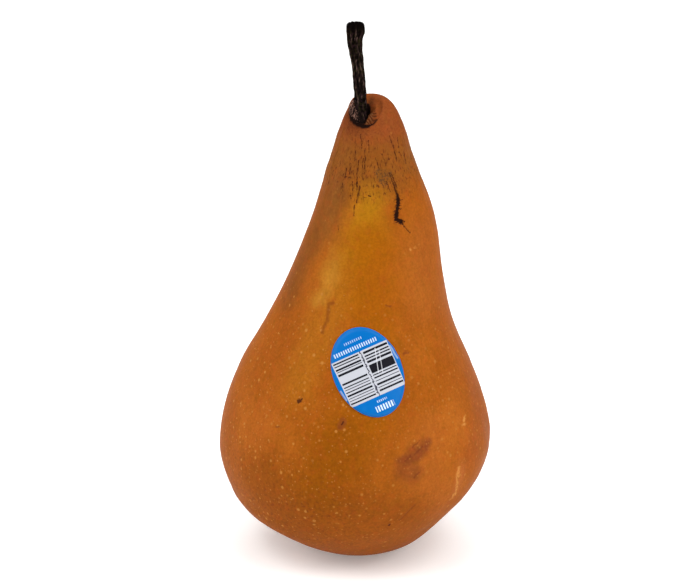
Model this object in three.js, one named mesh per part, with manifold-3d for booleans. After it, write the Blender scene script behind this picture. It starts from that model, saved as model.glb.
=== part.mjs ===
// A long-necked russet pear standing on its blossom end: the fruit, its woody stalk in the hollow on
// top, the dried calyx in the basin underneath, and an oval film label stuck on the front.
// Millimetres, +Z up, +X to the right of the labelled front, which faces -Y. The origin is on the
// ground, under the middle of the whole pear.
import * as THREE from "three";
import { LoftGeometry } from "three/addons/geometries/LoftGeometry.js";
import { mergeVertices } from "three/addons/utils/BufferGeometryUtils.js";
import Module from "manifold-3d";

const TURN = 2 * Math.PI;

// The fruit's rings, from the middle of the basin up the outside and down into the stalk's hole.
// z: height of the ring's middle, r: half its width, x and y: how far its middle is off the upright,
// fore and side: how steeply it climbs from front to back and from left to right,
// saddle: how far its left and right are above that slope and its front and back below it.
const RINGS = [
  { z: 6.4, r: 0 }, // middle of the basin
  { z: 6.1, r: 3.3 },
  { z: 4.4, r: 5.8 }, // basin wall
  { z: 1.2, r: 7.5 },
  { z: -0.1, r: 8.7 }, // foot, cut flat by the ground
  { z: -0.1, r: 10.0 },
  { z: 1.1, r: 13.4, x: 0.5, side: -0.02 },
  { z: 4.6, r: 20.2, x: 0.1, side: -0.03 },
  { z: 10.2, r: 27.6, x: -1.1, side: -0.02 },
  { z: 18.5, r: 34.2, x: -0.7 },
  { z: 31.0, r: 38.4, x: 0.3 }, // widest
  { z: 44.0, r: 36.7, x: 0.5, y: 0.2 },
  { z: 57.0, r: 31.9, x: 0.6, y: 0.5 }, // shoulder
  { z: 69.0, r: 26.1, x: 1.6, y: 0.9 },
  { z: 81.0, r: 21.8, x: 3.1, y: 1.3 },
  { z: 94.0, r: 18.3, x: 4.8, y: 1.6 }, // neck
  { z: 106.0, r: 14.7, x: 5.3, y: 1.7, fore: 0.06, saddle: 0.1 },
  { z: 116.0, r: 11.3, x: 4.9, y: 1.6, fore: 0.16, saddle: 0.3 },
  { z: 123.5, r: 9.0, x: 4.8, y: 1.2, fore: 0.32, saddle: 0.6 },
  { z: 127.8, r: 7.2, x: 4.3, y: 0.7, fore: 0.5, side: 0.02, saddle: 0.65 },
  { z: 129.9, r: 5.0, x: 3.5, y: 0.2, fore: 0.64, side: 0.07, saddle: 0.7 }, // crest round the hollow
  { z: 129.5, r: 4.3, x: 3.0, y: -0.2, fore: 0.72, side: 0.12, saddle: 0.6 },
  { z: 128.3, r: 3.7, x: 2.5, y: -0.6, fore: 0.8, side: 0.15, saddle: 0.4 }, // crease
  { z: 128.0, r: 3.3, x: 2.2, y: -0.8, fore: 0.68, side: 0.2, saddle: 0.25 }, // fleshy collar
  { z: 127.1, r: 2.95, x: 1.8, y: -1.0, fore: 0.58, side: 0.2, saddle: 0.2 },
  { z: 124.0, r: 2.8, x: 1.6, y: -1.2, fore: 0.2 },
  { z: 118.0, r: 2.8, x: 1.6, y: -1.2 }, // stalk's hole
  { z: 117.0, r: 0, x: 1.6, y: -1.2 },
];
const STEPS_PER_RING = 3; // loft sections from one of these rings to the next
const FRUIT_SIDES = 60;

// How a section departs from a circle, as a share of its radius. It fades out towards the hollows.
const FLATNESS = 0.02; // taken off the front and the back
const LOBES = [
  { count: 3, depth: 0.008, turned: 0.6 },
  { count: 5, depth: 0.005, turned: 1.9 },
];
const ROUND_BELOW = 6; // radius under which a section is a true circle
const LOBED_ABOVE = 16;

// The stalk's sections, root first: its middle, its half-width and how deep its ridges are.
const STALK = [
  { x: 1.6, y: -1.2, z: 118.2, r: 1.7, ridge: 0 },
  { x: 1.6, y: -1.2, z: 119.5, r: 2.2, ridge: 0 },
  { x: 1.6, y: -1.2, z: 124.5, r: 2.3, ridge: 0.02 },
  { x: 1.6, y: -1.1, z: 128.0, r: 2.2, ridge: 0.05 }, // swollen where it leaves the fruit
  { x: 1.45, y: -0.9, z: 131.0, r: 1.9, ridge: 0.09 },
  { x: 1.3, y: -0.6, z: 134.5, r: 1.68, ridge: 0.09 },
  { x: 0.9, y: 0.0, z: 140.0, r: 1.66, ridge: 0.09 },
  { x: 0.1, y: 0.7, z: 146.0, r: 1.95, ridge: 0.08 },
  { x: 0.0, y: 1.0, z: 149.5, r: 2.35, ridge: 0.06 }, // knob that held it to the spur
  { x: 0.2, y: 1.1, z: 151.8, r: 2.6, ridge: 0.04 },
  { x: 0.25, y: 1.1, z: 153.3, r: 2.4, ridge: 0.02 },
];
const STALK_RIDGES = 5;
const STALK_TWIST = 0.05; // radians a millimetre
const STALK_SIDES = 20;
const STALK_STEPS = 3;

// The label: half axes of its oval, its lean to the left, the side offset and height of its middle,
// and how far before the upright it starts on its way back to the skin.
const LABEL = { halfWidth: 9.4, halfLength: 12.65, lean: 23.3, x: 3.5, z: 63.8, before: 40 };
const LABEL_GAP = 0.4; // clear of the skin
const LABEL_THICKNESS = 0.3;
const LABEL_SIDES = 48;
const LABEL_RINGS = 5;
const LEVEL_SKIN = { from: 0.2, to: 0.7 }; // where along the fruit's profile its sections lie level

// The dried calyx hangs in the basin: a cup that opens downwards, five sepals that spread from its rim
// and bend down along the basin wall, and the stubs of the stamens inside it.
const CUP = { top: 5.6, rim: 3.5, inner: 1.7, outer: 2.5, floor: 0.9, shoulder: 0.6, lip: 0.3 };
const CUP_SIDES = 30;
const SEPALS = { count: 5, width: 2.8, thickness: 0.7, tip: 0.25, turned: 0.3 };
const SEPAL_BEND = [
  { r: 1.9, z: 4.3 },
  { r: 3.2, z: 4.3 },
  { r: 4.5, z: 3.5 },
  { r: 5.3, z: 2.3 },
  { r: 5.4, z: 1.1 },
];
const SEPAL_STEPS = 8;
const SEPAL_SIDES = 8;
const STAMENS = { count: 10, ring: 1.0, top: 5.2, length: 2.6, root: 0.24, tip: 0.16, lean: 0.22 };

const COLOURS = { skin: 0xb0621f, stalk: 0x2b1f19, calyx: 0x3d2a1c, label: 0x1b84d4 };

const wasm = await Module();
wasm.setup();

// --- solids ---------------------------------------------------------------------------------

function toSolid(geometry) {
  const bare = new THREE.BufferGeometry();
  bare.setAttribute("position", geometry.toNonIndexed().getAttribute("position"));
  const merged = mergeVertices(bare, 1e-4);
  const vertProperties = merged.getAttribute("position").array;
  const triVerts = new Uint32Array(merged.index.array);
  return new wasm.Manifold(new wasm.Mesh({ numProp: 3, vertProperties, triVerts }));
}

function toGeometry(solid) {
  const { vertProperties, triVerts } = solid.getMesh();
  const geometry = new THREE.BufferGeometry();
  geometry.setAttribute("position", new THREE.BufferAttribute(vertProperties, 3));
  geometry.setIndex(new THREE.BufferAttribute(triVerts, 1));
  geometry.computeVertexNormals();
  return geometry;
}

function fuse(geometries) {
  return toGeometry(geometries.map(toSolid).reduce((whole, next) => whole.add(next)));
}

// Points round a section, counterclockwise from above, for a function of the angle.
function section(sides, pointAt) {
  return Array.from({ length: sides }, (_, i) => pointAt((i / sides) * TURN));
}

// --- the fruit ------------------------------------------------------------------------------

// A smooth curve through one or more of the rings' values; all of them share the rings' steps.
function ringCurve(valuesOf, kind) {
  return new THREE.CatmullRomCurve3(RINGS.map((ring) => new THREE.Vector3(...valuesOf(ring))), false, kind);
}

const skinProfile = ringCurve(({ r, z }) => [r, 0, z], "centripetal");
const skinMiddle = ringCurve(({ x = 0, y = 0 }) => [x, y, 0], "catmullrom");
const skinSlope = ringCurve(({ side = 0, fore = 0, saddle = 0 }) => [side, fore, saddle], "catmullrom");

// How far the skin is from the middle of its section, in the direction of the angle.
function skinReach(radius, angle) {
  const lobed = THREE.MathUtils.smoothstep(radius, ROUND_BELOW, LOBED_ABOVE);
  let share = -FLATNESS * Math.sin(angle) ** 2;
  for (const { count, depth, turned } of LOBES) share += depth * Math.cos(count * (angle - turned));
  return Math.max(radius, 0) * (1 + lobed * share);
}

// A point of the skin: along runs from 0 in the basin to 1 in the stalk's hole.
function skinPoint(along, angle) {
  const { x: radius, z } = skinProfile.getPoint(along);
  const middle = skinMiddle.getPoint(along);
  const { x: side, y: fore, z: saddle } = skinSlope.getPoint(along);
  const reach = skinReach(radius, angle);
  const dx = reach * Math.cos(angle);
  const dy = reach * Math.sin(angle);
  const height = z + side * dx + fore * dy + saddle * Math.cos(2 * angle);
  return new THREE.Vector3(middle.x + dx, middle.y + dy, Math.max(height, 0));
}

function makeFruit() {
  const rows = (RINGS.length - 1) * STEPS_PER_RING;
  const sections = [];
  for (let row = 0; row <= rows; row += 1) {
    const isPole = row === 0 || row === rows;
    const along = row / rows;
    sections.push(section(FRUIT_SIDES, (angle) => skinPoint(along, isPole ? 0 : angle)));
  }
  return new LoftGeometry(sections);
}

// --- the stalk ------------------------------------------------------------------------------

function makeStalk() {
  const path = new THREE.CatmullRomCurve3(STALK.map(({ x, y, z }) => new THREE.Vector3(x, y, z)));
  const widths = new THREE.CatmullRomCurve3(STALK.map(({ r, ridge }) => new THREE.Vector3(r, ridge, 0)));
  const rows = (STALK.length - 1) * STALK_STEPS;
  const sections = [];
  for (let row = 0; row <= rows; row += 1) {
    const middle = path.getPoint(row / rows);
    const { x: radius, y: ridge } = widths.getPoint(row / rows);
    sections.push(
      section(STALK_SIDES, (angle) => {
        const reach = radius * (1 + ridge * Math.cos(STALK_RIDGES * (angle - STALK_TWIST * middle.z)));
        return new THREE.Vector3(reach * Math.cos(angle), reach * Math.sin(angle), 0).add(middle);
      }),
    );
  }
  return new LoftGeometry(sections, { capStart: true, capEnd: true });
}

// --- the label ------------------------------------------------------------------------------

// How far a point beside the belly or the neck is outside the skin, measured level.
function outsideSkin(point) {
  let { from, to } = LEVEL_SKIN;
  for (let halving = 0; halving < 30; halving += 1) {
    const along = (from + to) / 2;
    if (skinProfile.getPoint(along).z < point.z) from = along;
    else to = along;
  }
  const middle = skinMiddle.getPoint(from);
  const dx = point.x - middle.x;
  const dy = point.y - middle.y;
  return Math.hypot(dx, dy) - skinReach(skinProfile.getPoint(from).x, Math.atan2(dy, dx));
}

// Moves a point straight along a direction until it lies on the skin.
function dropOnSkin(point, outwards) {
  const dropped = point.clone();
  for (let step = 0; step < 20; step += 1) dropped.addScaledVector(outwards, -outsideSkin(dropped));
  return dropped;
}

function makeLabel() {
  const { halfWidth, halfLength, lean, x, z } = LABEL;
  const front = new THREE.Vector3(0, -1, 0);
  const onFront = (dx, dz) => dropOnSkin(new THREE.Vector3(x + dx, -LABEL.before, z + dz), front);
  const middle = onFront(0, 0);
  const below = onFront(0, -1);
  const beside = onFront(1, 0);
  const up = middle.clone().sub(below).normalize();
  const outwards = beside.sub(middle).cross(up).normalize();
  const tilt = new THREE.Matrix4().makeBasis(up.clone().cross(outwards), up, outwards);
  const leaning = new THREE.Matrix4().makeRotationZ(THREE.MathUtils.degToRad(lean));
  const place = tilt.multiply(leaning).setPosition(middle);

  const oval = (share, height) =>
    section(LABEL_SIDES, (angle) => {
      const flat = new THREE.Vector3(halfWidth * Math.cos(angle), halfLength * Math.sin(angle), 0);
      const onSkin = dropOnSkin(flat.multiplyScalar(share).applyMatrix4(place), outwards);
      return onSkin.addScaledVector(outwards, height);
    });
  const sections = [];
  for (let ring = 0; ring <= LABEL_RINGS; ring += 1) sections.push(oval(ring / LABEL_RINGS, LABEL_GAP));
  for (let ring = LABEL_RINGS; ring >= 0; ring -= 1) {
    sections.push(oval(ring / LABEL_RINGS, LABEL_GAP + LABEL_THICKNESS));
  }
  return new LoftGeometry(sections);
}

// --- the calyx ------------------------------------------------------------------------------

function makeCup() {
  const { top, rim, inner, outer, floor, shoulder, lip } = CUP;
  const profile = [
    [0, top],
    [outer - shoulder, top],
    [outer, top - shoulder],
    [outer, rim + lip],
    [(outer + inner) / 2, rim],
    [inner, rim + lip],
    [inner - lip, top - floor],
    [0, top - floor],
  ];
  const points = profile.map(([r, z]) => new THREE.Vector2(r, z)).reverse();
  return new THREE.LatheGeometry(points, CUP_SIDES).rotateX(TURN / 4);
}

function makeSepal(turned) {
  const bend = new THREE.CatmullRomCurve3(SEPAL_BEND.map(({ r, z }) => new THREE.Vector3(r, 0, z)));
  const across = new THREE.Vector3(0, 1, 0);
  const sections = [];
  for (let step = 0; step <= SEPAL_STEPS; step += 1) {
    const share = step / SEPAL_STEPS;
    const middle = bend.getPoint(share);
    const through = bend.getTangent(share).cross(across);
    const halfWidth = THREE.MathUtils.lerp(SEPALS.width, SEPALS.tip, share ** 1.5) / 2;
    const halfThickness = THREE.MathUtils.lerp(SEPALS.thickness, SEPALS.tip, share ** 4) / 2;
    const pointAt = (angle) =>
      middle
        .clone()
        .addScaledVector(across, halfWidth * Math.cos(angle))
        .addScaledVector(through, halfThickness * Math.sin(angle));
    sections.push(section(SEPAL_SIDES, pointAt));
  }
  return new LoftGeometry(sections, { capStart: true, capEnd: true }).rotateZ(turned);
}

function makeStamen(turned) {
  const { ring, top, length, root, tip, lean } = STAMENS;
  return new THREE.CylinderGeometry(root, tip, length, 5)
    .translate(0, -length / 2, 0)
    .rotateX(TURN / 4)
    .rotateY(-lean)
    .translate(ring, 0, top)
    .rotateZ(turned);
}

function makeCalyx() {
  const pieces = [makeCup()];
  for (let i = 0; i < SEPALS.count; i += 1) {
    pieces.push(makeSepal(SEPALS.turned + (i / SEPALS.count) * TURN));
  }
  for (let i = 0; i < STAMENS.count; i += 1) pieces.push(makeStamen((i / STAMENS.count) * TURN));
  return fuse(pieces);
}

// --- the pear -------------------------------------------------------------------------------

const pear = new THREE.Group();

function addPiece(name, geometry, color, roughness) {
  const material = new THREE.MeshStandardMaterial({ color, roughness, metalness: 0 });
  const mesh = new THREE.Mesh(geometry, material);
  mesh.name = name;
  pear.add(mesh);
}

addPiece("fruit", makeFruit(), COLOURS.skin, 0.5);
addPiece("stem", makeStalk(), COLOURS.stalk, 0.8);
addPiece("calyx", makeCalyx(), COLOURS.calyx, 0.9);
addPiece("label", makeLabel(), COLOURS.label, 0.35);

// The upright through the origin is put in the middle of the pear's breadth and depth.
const { x: offX, y: offY } = new THREE.Box3().setFromObject(pear).getCenter(new THREE.Vector3());
pear.position.set(-offX, -offY, 0);

export default pear;
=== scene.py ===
import math
from functools import partial

import bpy
import numpy as np
from mathutils import Matrix, Vector


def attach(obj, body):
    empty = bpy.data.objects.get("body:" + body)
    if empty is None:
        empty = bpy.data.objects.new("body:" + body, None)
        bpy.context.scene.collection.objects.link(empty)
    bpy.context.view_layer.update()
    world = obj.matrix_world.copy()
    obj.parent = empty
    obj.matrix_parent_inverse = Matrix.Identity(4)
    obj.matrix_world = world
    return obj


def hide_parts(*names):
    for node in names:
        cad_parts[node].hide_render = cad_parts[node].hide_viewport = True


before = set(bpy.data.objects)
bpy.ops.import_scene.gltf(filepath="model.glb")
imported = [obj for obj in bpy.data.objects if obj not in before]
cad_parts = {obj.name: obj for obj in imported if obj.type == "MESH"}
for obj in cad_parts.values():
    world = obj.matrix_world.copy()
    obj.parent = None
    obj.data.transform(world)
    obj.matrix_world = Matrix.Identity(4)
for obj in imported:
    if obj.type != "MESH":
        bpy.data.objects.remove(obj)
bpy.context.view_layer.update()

mm = 0.001  # every size below is in millimetres


# small helpers

def fromHex(code):
    parts = [int(code[i:i + 2], 16) / 255 for i in (1, 3, 5)]
    return [p / 12.92 if p <= 0.04045 else ((p + 0.055) / 1.055) ** 2.4 for p in parts] + [1]


def addNode(tree, kind, sockets=None, out=0, stops=(), **settings):  # stops: places and colours on a ramp
    node = tree.nodes.new("ShaderNode" + kind)
    place = len(tree.nodes)
    node.location = (200 * (place // 8), -260 * (place % 8))
    for name, value in settings.items():
        setattr(node, name, value)
    for key, value in (sockets or {}).items():
        if isinstance(value, bpy.types.NodeSocket):
            tree.links.new(value, node.inputs[key])
        else:
            node.inputs[key].default_value = fromHex(value) if isinstance(value, str) else value
    for position, code in stops[1:-1]:
        node.color_ramp.elements.new(position).color = fromHex(code)
    for end in (0, -1) if stops else ():
        node.color_ramp.elements[end].position = stops[end][0]
        node.color_ramp.elements[end].color = fromHex(stops[end][1])
    return node if out is None else node.outputs[out]


def newMaterial(name):  # comes with the function that adds a node to it
    material = bpy.data.materials.new(name)
    material.use_nodes = True
    material.node_tree.nodes.clear()
    return material, partial(addNode, material.node_tree)


def inMillimetres(add):
    return add("VectorMath", {0: add("TexCoord", out="Object"), "Scale": 1 / mm}, operation="SCALE")


def pick(piece):  # piece becomes the only selected one
    bpy.ops.object.select_all(action="DESELECT")
    piece.select_set(True)
    bpy.context.view_layer.objects.active = piece


def editAll():  # everything in the active piece is selected, ready for shaping
    bpy.ops.object.mode_set(mode="EDIT")
    bpy.ops.mesh.select_all(action="SELECT")


def addCircle(sides, radius, fill="NGON", middle=(0, 0, 0)):
    bpy.ops.object.select_all(action="DESELECT")
    bpy.ops.mesh.primitive_circle_add(vertices=sides, radius=radius, fill_type=fill, location=middle)
    return bpy.context.object


def extrude(way, share=1, middle=(0, 0, 0)):  # one step of the selected end, moved by way and resized
    bpy.ops.mesh.extrude_region_move(TRANSFORM_OT_translate={"value": way})
    bpy.ops.transform.resize(value=(share, share, 1), center_override=middle)


def applyModifier(piece, kind, **settings):
    pick(piece)
    modifier = piece.modifiers.new(kind.title(), kind)
    for name, value in settings.items():
        setattr(modifier, name, value)
    bpy.ops.object.modifier_apply(modifier=modifier.name)


def readPoints(piece, field="co"):
    flat = np.empty(len(piece.data.vertices) * 3)
    piece.data.vertices.foreach_get(field, flat)
    return flat.reshape(-1, 3)


def placePoints(piece, points):  # points in mm
    piece.data.vertices.foreach_set("co", (points * mm).ravel())
    piece.data.update()


def movePoints(piece, outwards):  # outwards: millimetres along each point's normal
    placePoints(piece, readPoints(piece) / mm + readPoints(piece, "normal") * outwards[:, None])


def keepOnPoints(piece, name, values):  # for the material
    layer = piece.data.attributes.new(name, "FLOAT", "POINT")
    layer.data.foreach_set("value", values.astype(np.float32))


def ease(low, high, values):  # 0 up to low, 1 from high on, smooth between
    share = np.clip((values - low) / (high - low), 0, 1)
    return share * share * (3 - 2 * share)


def lookUp(table, values):  # a table of pairs, read between its rows
    return np.interp(values, *np.array(table).T)


def weightGroup(piece, name, weights):
    group = piece.vertex_groups.new(name=name)
    for level in range(1, 21):  # weights in twentieths, so each level is one call
        chosen = np.flatnonzero(np.rint(weights * 20) == level)
        group.add([int(i) for i in chosen], level / 20, "REPLACE")
    return name


# clouds push the points out and in; an empty can stretch them upwards
def roughen(piece, name, size, height, depth=2, stretch=None, **settings):
    texture = bpy.data.textures.new(name, "CLOUDS")
    texture.noise_scale = size * mm
    texture.noise_depth = depth
    coords, space = "LOCAL", None
    if stretch:
        coords, space = "OBJECT", bpy.data.objects.new(name, None)
        view.collection.objects.link(space)
        space.scale = (1, 1, stretch)
        bpy.context.view_layer.update()
    applyModifier(piece, "DISPLACE", texture=texture, texture_coords=coords, texture_coords_object=space,
                  strength=height * mm, **settings)
    if space:
        bpy.data.objects.remove(space)


def copyShaped(template, points, parts, tone):  # one more copy of the template, moved to points in mm
    part = bpy.data.objects.new(template.name, template.data.copy())
    view.collection.objects.link(part)
    placePoints(part, points)
    keepOnPoints(part, "tone", np.full(len(points), tone))
    parts.append(part)


def joinParts(parts, name):
    bpy.ops.object.select_all(action="DESELECT")
    for part in parts:
        part.select_set(True)
    bpy.context.view_layer.objects.active = parts[0]
    bpy.ops.object.join()
    parts[0].name = name
    editAll()
    bpy.ops.mesh.normals_make_consistent(inside=False)
    bpy.ops.object.mode_set(mode="OBJECT")
    return parts[0]


def finishPiece(piece, material, node):
    pick(piece)
    bpy.ops.object.transform_apply(location=True, rotation=True, scale=True)
    piece.data.materials.clear()
    piece.data.materials.append(material)
    for face in piece.data.polygons:
        face.use_smooth = True
    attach(piece, "root")
    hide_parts(node)
    print(piece.name, "done,", len(piece.data.polygons), "faces")


view = bpy.context.scene


# camera and light

camera = {"target": (-1.3, 0, 76.2), "distance": 600, "elevation": 20, "focal": 110.2}
tilt = math.radians(camera["elevation"])
behind = Vector((0, -math.cos(tilt), math.sin(tilt))) * camera["distance"]
bpy.ops.object.camera_add(location=(Vector(camera["target"]) + behind) * mm,
                          rotation=(math.radians(90) - tilt, 0, 0))
view.camera = bpy.context.object
view.camera.data.lens = camera["focal"]
view.camera.data.clip_start = 0.01
view.view_settings.view_transform = "Standard"

# a light tent: two high softboxes at the front, one at each side, one behind and a wide one overhead
lamps = {  # degrees round from the camera and up, distance and size in mm, watts
    "highRight": (60, 50, 950, 600, 4.4),
    "highLeft": (-60, 50, 950, 600, 4.2),
    "sideRight": (60, 20, 950, 600, 3.75),
    "sideLeft": (-85, 20, 950, 600, 3.7),
    "back": (180, 50, 950, 600, 2.4),
    "overhead": (0, 80, 1700, 2600, 24),
}
aim = Vector((0, 0, 65)) * mm
for name, (turn, lift, distance, size, power) in lamps.items():
    turn, lift = math.radians(turn), math.radians(lift)
    way = Vector((math.sin(turn) * math.cos(lift), -math.cos(turn) * math.cos(lift), math.sin(lift)))
    bpy.ops.object.light_add(type="AREA", location=aim + way * distance * mm,
                             rotation=way.to_track_quat("Z", "Y").to_euler())
    light = bpy.context.object
    light.name = name
    light.data.size = size * mm
    light.data.energy = power

studio = {"world": "#ffffff", "worldStrength": 0.08, "floor": "#fbfbfa", "floorGlow": 0.22,
          "floorSize": 16000}
view.world = bpy.data.worlds.new("studio")
view.world.use_nodes = True
sky = view.world.node_tree.nodes["Background"].inputs
sky["Color"].default_value = fromHex(studio["world"])
sky["Strength"].default_value = studio["worldStrength"]

# painted board: matt and even, lit a little from below so that it stays white
paintedBoard, add = newMaterial("paintedBoard")
shader = add("BsdfPrincipled", {"Base Color": studio["floor"], "Roughness": 0.7,
                                "Emission Color": studio["floor"], "Emission Strength": studio["floorGlow"]})
add("OutputMaterial", {"Surface": shader}, None)
bpy.ops.mesh.primitive_plane_add(size=studio["floorSize"] * mm, location=(0, 0, -0.02 * mm))
floor = bpy.context.object
floor.name = "floor"
floor.data.materials.append(paintedBoard)
print("camera, light and floor done")


# marks on the skin, in the order in which they are painted, drawn on the front as lines from
# (x, z) to (x, z) with a half width; noise bends them and wears some of them away

scarLines = [  # a branch rub, healed black
    (11.1, 109.0, 11.5, 108.0, 0.05), (11.5, 108.0, 11.7, 107.1, 0.14), (11.7, 107.0, 11.8, 105.8, 0.32),
    (11.8, 105.8, 11.3, 103.9, 0.27), (11.3, 103.9, 11.2, 102.3, 0.34), (11.1, 101.9, 12.5, 101.2, 0.34)]

marks = {
    "scuff": {"colour": "#3f3220", "strength": 1.0, "soft": 1.1, "bent": "widely", "worn": "netted",
              "lines": [(6.4, 113.9, 8.9, 113.4, 0.7), (7.0, 112.2, 8.0, 111.2, 0.3)]},
    "bristles": {"colour": "#3a1c0e", "strength": 1.0, "soft": 1.0, "bent": "finely", "worn": "barred",
                 "lines": scarLines[2:]},
    "cracks": {"colour": "#3d1c0d", "strength": 0.95, "soft": 0.17, "bent": "widely", "worn": "broken",
               "lines": [
        (1.6, 124.0, 1.9, 120.5, 0.06), (2.8, 120.6, 2.6, 113.9, 0.06), (1.0, 117.2, 0.6, 113.4, 0.07),
        (0.6, 113.0, 0.6, 109.6, 0.1), (1.3, 110.7, 1.2, 108.4, 0.06), (-1.1, 116.2, -1.3, 113.6, 0.04),
        (-1.2, 107.9, -1.0, 107.3, 0.14), (9.4, 123.3, 10.3, 120.9, 0.06), (10.3, 120.9, 11.4, 116.7, 0.09),
        (13.2, 118.4, 13.9, 115.2, 0.04), (7.2, 119.0, 7.9, 117.4, 0.06), (8.9, 118.6, 9.4, 117.3, 0.04),
        (12.0, 118.8, 12.5, 117.6, 0.04), (-3.5, 112.4, -1.2, 112.7, 0.05), (0.0, 105.8, -0.2, 103.0, 0.03),
        (-4.7, 99.7, -4.4, 98.3, 0.09), (2.2, 117.9, 2.1, 114.2, 0.03), (0.2, 119.6, 0.0, 116.9, 0.03),
        (3.6, 122.6, 3.8, 119.4, 0.03), (0.9, 108.9, 0.5, 106.4, 0.07), (-0.6, 111.7, -0.7, 109.3, 0.05),
        (-2.3, 114.7, -2.5, 112.9, 0.04), (-3.2, 110.6, -3.3, 108.9, 0.04), (2.3, 108.0, 3.1, 107.8, 0.07),
        (3.7, 108.4, 4.2, 108.2, 0.06), (11.5, 122.6, 11.9, 119.9, 0.03), (6.0, 117.4, 6.4, 115.3, 0.03),
        (8.0, 117.0, 8.3, 115.9, 0.05), (15.0, 117.6, 15.5, 115.5, 0.03)]},
    "hairlines": {"colour": "#34190d", "strength": 0.85, "soft": 0.2, "bent": "finely", "worn": "whole",
                  "lines": [
        (9.3, 113.9, 10.2, 111.6, 0.05), (10.2, 111.6, 11.1, 109.0, 0.06), (9.9, 113.6, 11.4, 109.9, 0.02),
        (8.5, 111.8, 9.6, 109.2, 0.02), (12.5, 101.1, 13.8, 99.3, 0.04), (13.8, 99.3, 15.0, 97.9, 0.02),
        (12.4, 101.8, 13.5, 101.1, 0.02), (11.0, 105.4, 11.8, 105.4, 0.05), (12.6, 104.6, 11.4, 104.3, 0.03),
        (10.6, 103.2, 11.4, 103.1, 0.05), (12.9, 106.7, 11.7, 106.6, 0.03)]},
    "brownScar": {"colour": "#6b3412", "strength": 0.55, "soft": 0.6, "bent": "widely", "worn": "whole",
                  "lines": [
        (-5.9, 80.2, -7.1, 79.5, 0.1), (-7.1, 79.5, -7.3, 77.0, 0.14), (-7.3, 77.0, -7.6, 75.5, 0.18),
        (-7.6, 75.5, -8.9, 72.4, 0.06)]},
    "paleRubs": {"colour": "#c2853f", "strength": 0.6, "soft": 0.5, "bent": "widely", "worn": "broken",
                 "lines": [
        (28.9, 34.4, 28.5, 33.2, 0.08), (28.5, 33.0, 28.6, 31.4, 0.12), (28.2, 32.0, 28.3, 28.2, 0.04),
        (28.3, 28.2, 27.8, 25.2, 0.06), (27.4, 26.0, 27.2, 24.2, 0.04), (30.4, 46.8, 30.1, 46.0, 0.08),
        (29.8, 45.2, 30.7, 44.8, 0.06), (16.4, 93.9, 16.6, 93.8, 0.0), (15.0, 93.7, 15.1, 93.6, 0.0),
        (17.5, 94.4, 17.6, 94.3, -0.1), (13.6, 92.9, 13.7, 92.8, -0.1)]},
    "scratches": {"colour": "#5f2c17", "strength": 0.45, "soft": 0.35, "bent": "widely", "worn": "whole",
                  "lines": [
        (13.2, 67.0, 14.6, 66.9, 0.08), (13.6, 67.5, 14.2, 67.4, 0.04), (8.3, 79.8, 9.6, 79.5, 0.05),
        (15.6, 43.6, 17.4, 44.8, 0.05), (13.6, 40.4, 15.0, 41.4, 0.05), (16.2, 41.6, 18.2, 43.2, 0.04),
        (-6.2, 66.8, -5.7, 63.9, 0.05), (16.2, 35.4, 17.4, 36.6, 0.05), (-21.5, 47.2, -20.6, 47.5, 0.05),
        (12.4, 21.8, 16.5, 26.5, 0.04)]},
    "brownSpot": {"colour": "#70351a", "strength": 0.6, "soft": 0.9, "bent": "widely", "worn": "whole",
                  "lines": [(-3.8, 50.3, -3.2, 51.5, 0.45)]},
    "flySpecks": {"colour": "#3a1c10", "strength": 0.9, "soft": 0.3, "bent": "widely", "worn": "whole",
                  "lines": [(-15.4, 54.9, -14.9, 55.2, 0.3), (-14.7, 55.5, -14.3, 55.9, 0.06),
                            (-3.4, 50.8, -3.2, 51.3, 0.06), (9.5, 20.4, 9.6, 20.6, 0.16)]},
    "scar": {"colour": "#1c0f0b", "strength": 0.97, "soft": 0.35, "bent": "finely", "worn": "whole",
             "lines": scarLines},
}

flatMarks = ("scuff", "bristles")  # the others are sunken

wear = {  # the noise's size across and upwards, its range, and what is left of a mark over that range
    "netted": {"size": (0.45, 0.45), "detail": 2, "roughness": 0.6, "noise": (0.46, 0.58),
               "left": (0.1, 0.7)},
    "barred": {"size": (1.6, 0.32), "detail": 1, "roughness": 0.5, "noise": (0.5, 0.6), "left": (0, 1)},
    "broken": {"size": (0.9, 0.9), "detail": 1, "roughness": 0.5, "noise": (0.4, 0.54), "left": (0.35, 1)},
}


# fruit

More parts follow.
